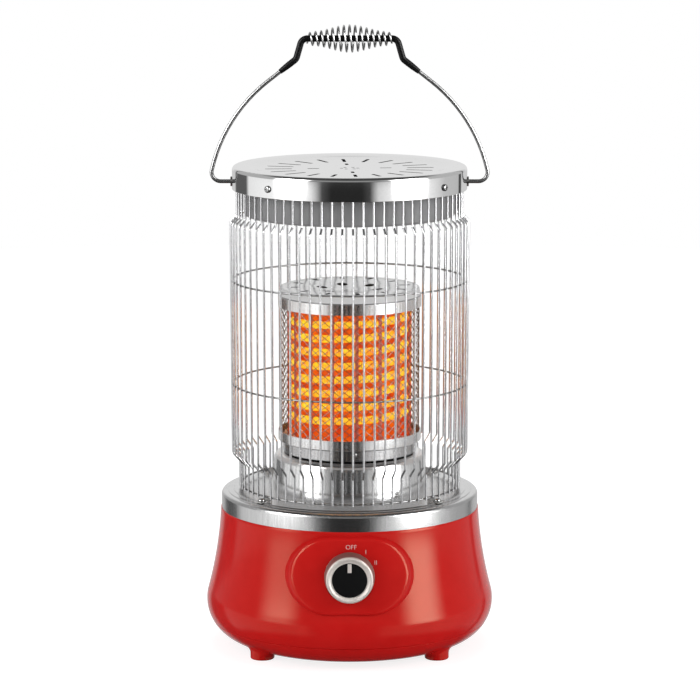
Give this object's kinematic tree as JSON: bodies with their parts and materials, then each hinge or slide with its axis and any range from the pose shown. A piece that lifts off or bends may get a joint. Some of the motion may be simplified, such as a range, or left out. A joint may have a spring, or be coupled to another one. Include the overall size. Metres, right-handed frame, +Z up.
{
  "type": "ceramic heater",
  "caption": "Round electric ceramic heater: flared red base with a rotary switch, glowing wound element inside a wire guard, pierced steel lid and a swinging bail with a coil grip.",
  "frame": {"origin": "on the floor under the middle of the round base", "axes": "+Z up along the heater's axis, the knob faces -Y, the bail's pivots lie along X"},
  "size_m": [0.288, 0.3037, 0.6223],
  "materials": {
    "red_plastic": "high gloss moulded red",
    "polished_steel": "mirror polished sheet steel",
    "guard_steel": "bright plated wire",
    "bail_steel": "bright steel wire",
    "dark_steel": "satin dark steel",
    "shield_steel": "satin grey sheet",
    "mesh_steel": "expanded steel",
    "plated_steel": "zinc plated",
    "screw_steel": "bright plated",
    "ceramic": "unglazed ceramic",
    "hot_coil": "resistance coil, glowing orange",
    "brass": "plain",
    "black_plastic": "satin black",
    "knob_black": "semi-gloss black",
    "knob_silver": "satin silver",
    "pale_plastic": "moulded, pale",
    "lead_sleeve": "braided sleeve"
  },
  "bodies": {
    "heater": {"base_shell": "red_plastic", "control_panel": "red_plastic", "bottom_cover": "red_plastic", "bottom_screws": "screw_steel", "deck": "polished_steel", "cage_tabs": "plated_steel", "tab_screws": "screw_steel", "pedestal": "polished_steel", "element_holder": "dark_steel", "holder_screws": "screw_steel", "lower_tray": "polished_steel", "lower_insulator": "ceramic", "ceramic_core": "ceramic", "heating_winding": "hot_coil", "upper_insulator": "ceramic", "element_terminals": "brass", "terminal_bushes": "ceramic", "element_mesh": "mesh_steel", "element_cap": "polished_steel", "tie_rod": "plated_steel", "tie_nuts": "plated_steel", "guard_wires": "guard_steel", "guard_ring_bottom": "guard_steel", "guard_ring_lower": "guard_steel", "guard_ring_upper": "guard_steel", "guard_ring_top": "guard_steel", "heat_shield": "shield_steel", "lid_brackets": "plated_steel", "lid": "polished_steel", "lid_screws": "screw_steel", "bail_bushes": "bail_steel", "switch_body": "pale_plastic", "switch_screws": "screw_steel", "terminal_block": "pale_plastic", "terminal_screws": "screw_steel", "thermal_cutout": "black_plastic", "cutout_rivets": "screw_steel", "tip_switch": "black_plastic", "tip_screws": "screw_steel", "tip_spring": "plated_steel", "internal_leads": "lead_sleeve", "cord_gland": "black_plastic"},
    "bail": {"bail_wire": "bail_steel", "bail_clips": "dark_steel", "grip_sleeve": "black_plastic", "grip_spring": "bail_steel"},
    "knob": {"switch_shaft": "plated_steel", "knob_hub": "black_plastic", "knob_ring": "knob_silver", "knob_face": "knob_black", "knob_pointer": "knob_silver"},
    "plunger": {"tip_plunger": "pale_plastic"}
  },
  "joints": [
    {"name": "bail_swing", "type": "hinge", "parent": "heater", "child": "bail", "pos_m": [0, 0, 0.467], "axis": [1, 0, 0], "range_deg": [-104, 104]},
    {"name": "knob_turn", "type": "hinge", "parent": "heater", "child": "knob", "pos_m": [0, -0.1484, 0.098], "axis": [0, 1, 0], "range_deg": [0, 60]},
    {"name": "plunger_slide", "type": "slide", "parent": "heater", "child": "plunger", "axis": [0, 0, -1], "range_m": [0, 0.006], "stiffness_N_per_m": 100, "springref_m": 0.012, "deforming": ["tip_spring"]}
  ]
}
